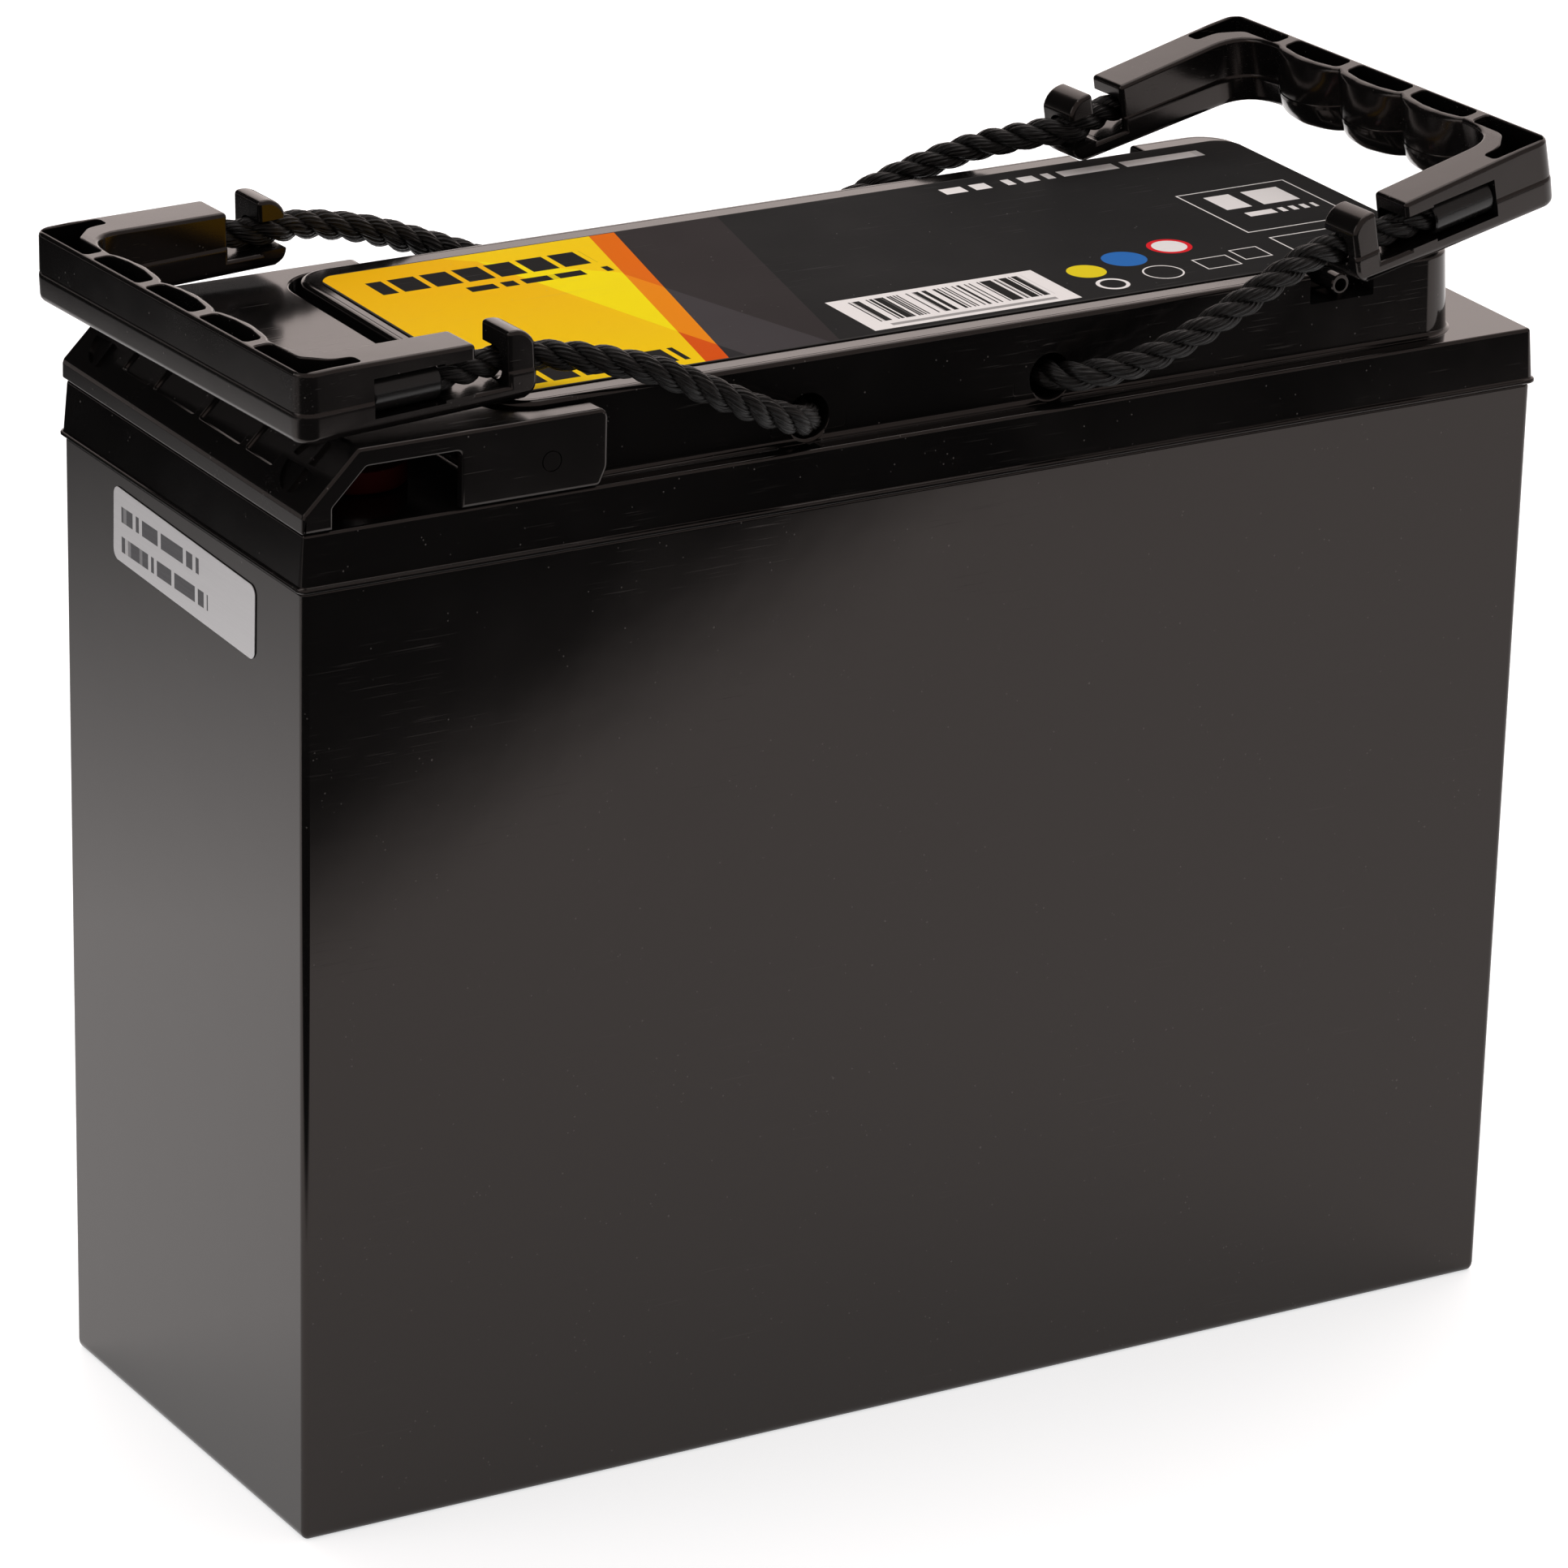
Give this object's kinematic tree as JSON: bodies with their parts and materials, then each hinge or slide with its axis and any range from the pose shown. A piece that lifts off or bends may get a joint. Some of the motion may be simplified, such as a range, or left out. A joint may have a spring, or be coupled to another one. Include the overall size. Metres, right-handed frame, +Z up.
{
  "type": "deep cycle battery",
  "caption": "Slim front-terminal deep cycle battery: tall narrow case, raised lid, slide-on terminal cover over two bolt terminals, and a rope handle with a moulded finger grip at each end.",
  "frame": {"origin": "centre of the face that the case stands on", "axes": "+X along the length, away from the terminals; +Y away from the near long side; +Z up"},
  "size_m": [0.2817, 0.1197, 0.2488],
  "materials": {
    "black_case": "smooth gloss moulded plastic",
    "black_lid": "smooth gloss moulded plastic",
    "black_cover": "smooth gloss moulded plastic",
    "black_grip": "semi-gloss moulded plastic",
    "rope_fibre": "three-strand laid polypropylene",
    "ferrule_sleeve": "smooth black sleeve",
    "top_label_film": "printed film",
    "end_label_foil": "silver film",
    "brass_insert": "machined",
    "red_collar": "moulded",
    "black_collar": "moulded",
    "steel_fixings": "zinc plated",
    "cell_film": "blue film over an aluminium can",
    "copper_bar": "rolled copper",
    "board_green": "solder mask",
    "heat_plate": "milled",
    "foam": "closed-cell foam",
    "epoxy_board": "glass-epoxy sheet",
    "red_wire": "silicone insulation",
    "black_wire": "silicone insulation"
  },
  "bodies": {
    "battery": {"case": "black_case", "lid": "black_lid", "top_label": "top_label_film", "end_label": "end_label_foil", "positive_terminal_insert": "brass_insert", "positive_terminal_collar": "red_collar", "positive_flat_washer": "steel_fixings", "positive_spring_washer": "steel_fixings", "positive_terminal_bolt": "steel_fixings", "negative_terminal_insert": "brass_insert", "negative_terminal_collar": "black_collar", "negative_flat_washer": "steel_fixings", "negative_spring_washer": "steel_fixings", "negative_terminal_bolt": "steel_fixings", "cell_1": "cell_film", "cell_2": "cell_film", "cell_3": "cell_film", "cell_4": "cell_film", "front_busbar": "copper_bar", "end_busbar": "copper_bar", "rear_busbar": "copper_bar", "bms_board": "board_green", "bms_heat_plate": "heat_plate", "bms_screw_1": "steel_fixings", "bms_screw_2": "steel_fixings", "bms_screw_3": "steel_fixings", "bms_screw_4": "steel_fixings", "base_pad": "foam", "front_foam": "foam", "insulation_board": "epoxy_board", "rear_foam": "foam", "top_board": "epoxy_board", "positive_lead": "red_wire", "negative_lead": "black_wire", "board_lead": "black_wire"},
    "terminal_cover": {"terminal_cover": "black_cover"},
    "left_handle": {"left_grip": "black_grip", "left_near_ferrule": "ferrule_sleeve", "left_far_ferrule": "ferrule_sleeve", "left_rope": "rope_fibre"},
    "right_handle": {"right_grip": "black_grip", "right_near_ferrule": "ferrule_sleeve", "right_far_ferrule": "ferrule_sleeve", "right_rope": "rope_fibre"}
  },
  "joints": [
    {"name": "cover_slide", "type": "slide", "parent": "battery", "child": "terminal_cover", "axis": [-1, 0, 0], "range_m": [0, 0.075]},
    {"name": "left_handle_lift", "type": "hinge", "parent": "battery", "child": "left_handle", "pos_m": [-0.0272, 0, 0.2118], "axis": [0, 1, 0], "range_deg": [0, 80]},
    {"name": "right_handle_lift", "type": "hinge", "parent": "battery", "child": "right_handle", "pos_m": [0.0272, 0, 0.2118], "axis": [0, -1, 0], "range_deg": [0, 75]}
  ]
}
